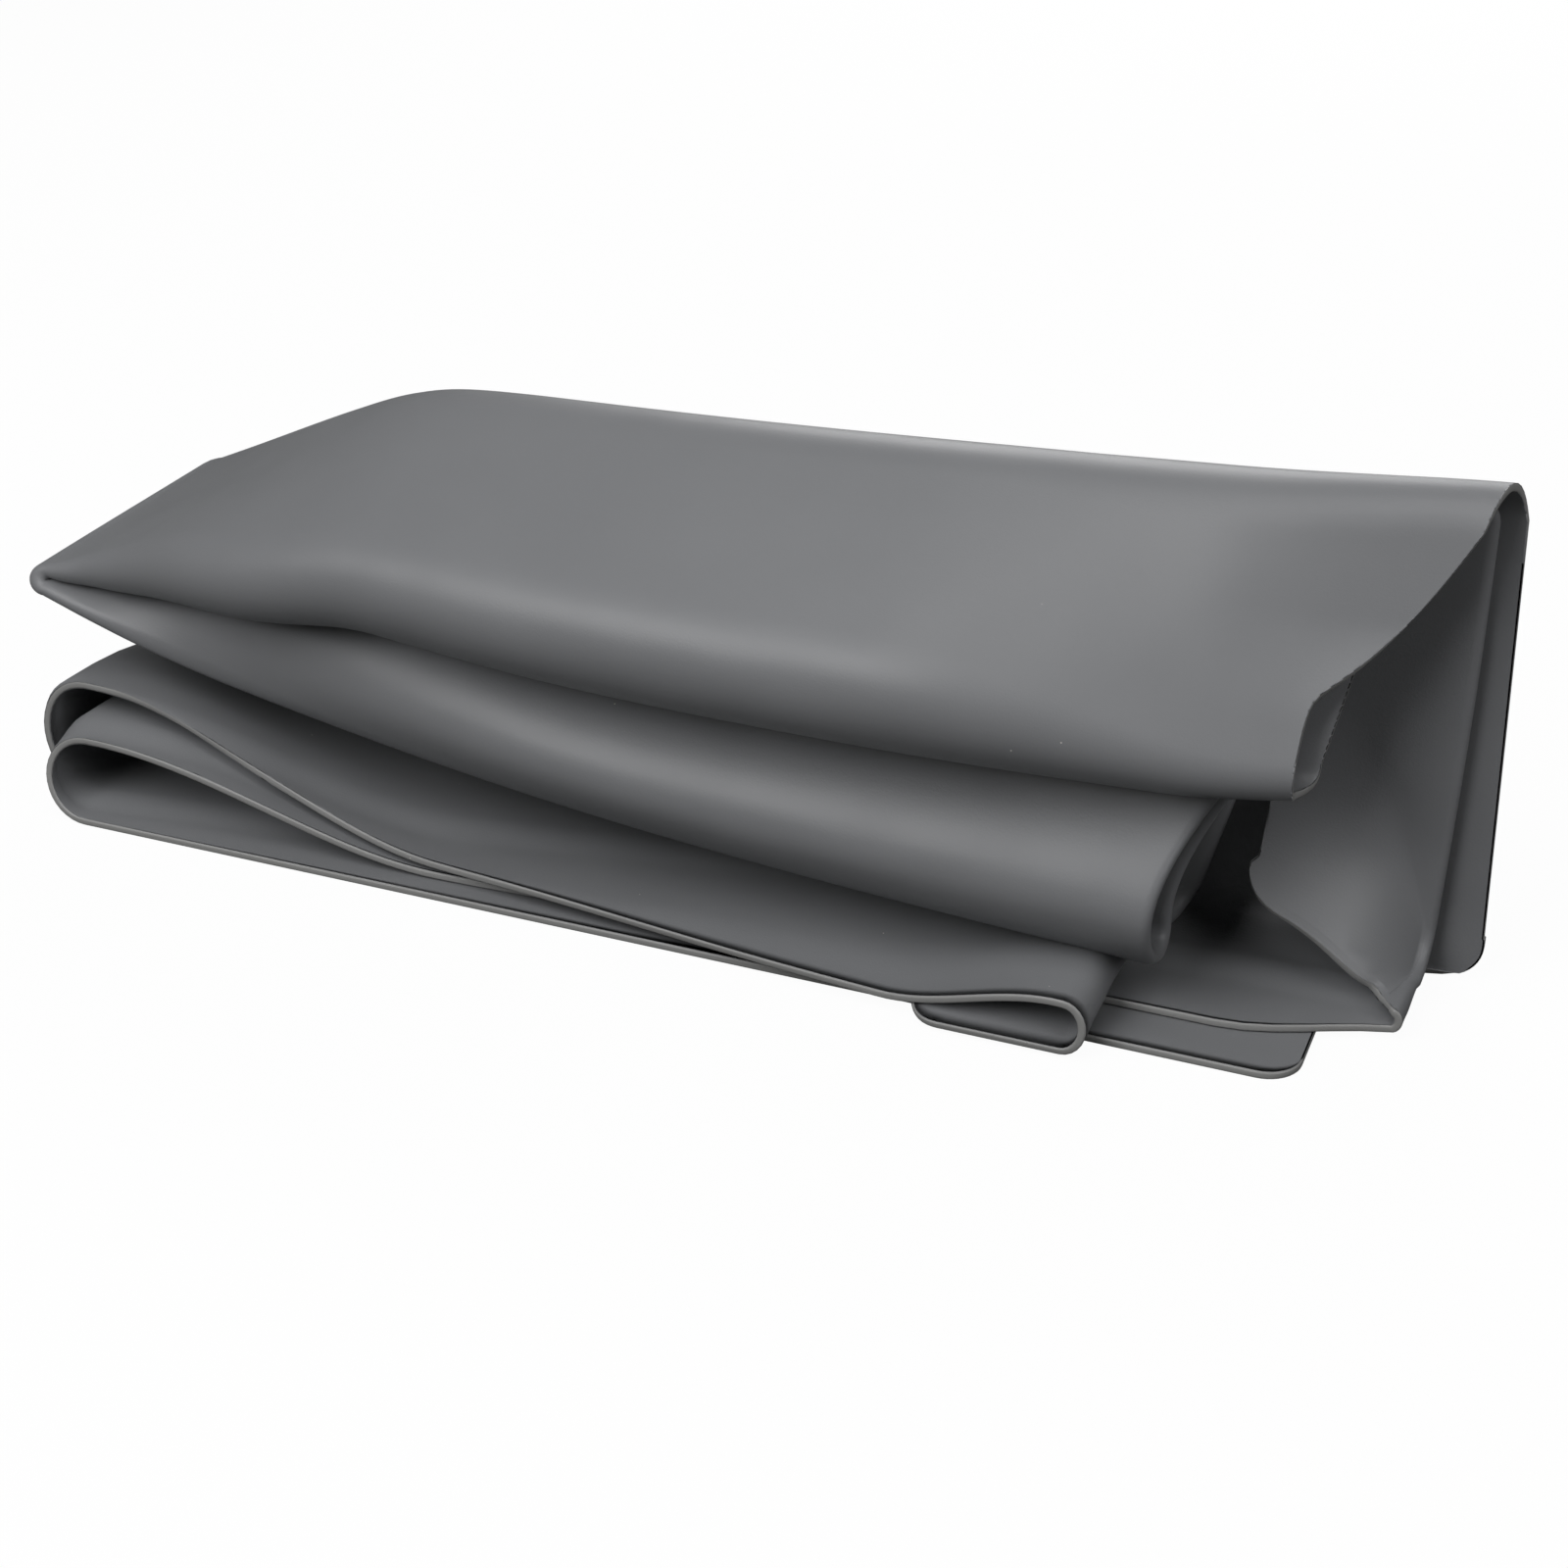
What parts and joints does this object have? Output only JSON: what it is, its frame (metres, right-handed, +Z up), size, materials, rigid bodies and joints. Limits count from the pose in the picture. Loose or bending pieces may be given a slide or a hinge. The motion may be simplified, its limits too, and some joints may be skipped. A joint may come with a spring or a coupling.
{
  "type": "silicone pastry mat",
  "caption": "Thin rectangular silicone baking mat with rounded corners, folded into a loose springy bundle that rests flat on its long edge layers.",
  "frame": {"origin": "on the ground at the middle of the folded mat's footprint", "axes": "+X along the folded length from the left fold to the cut end, +Y to the back wall of the bundle, +Z up"},
  "size_m": [0.3058, 0.1076, 0.1008],
  "materials": {
    "silicone": "satin matt moulded silicone"
  },
  "bodies": {
    "root": {"mat": "silicone"}
  },
  "joints": []
}
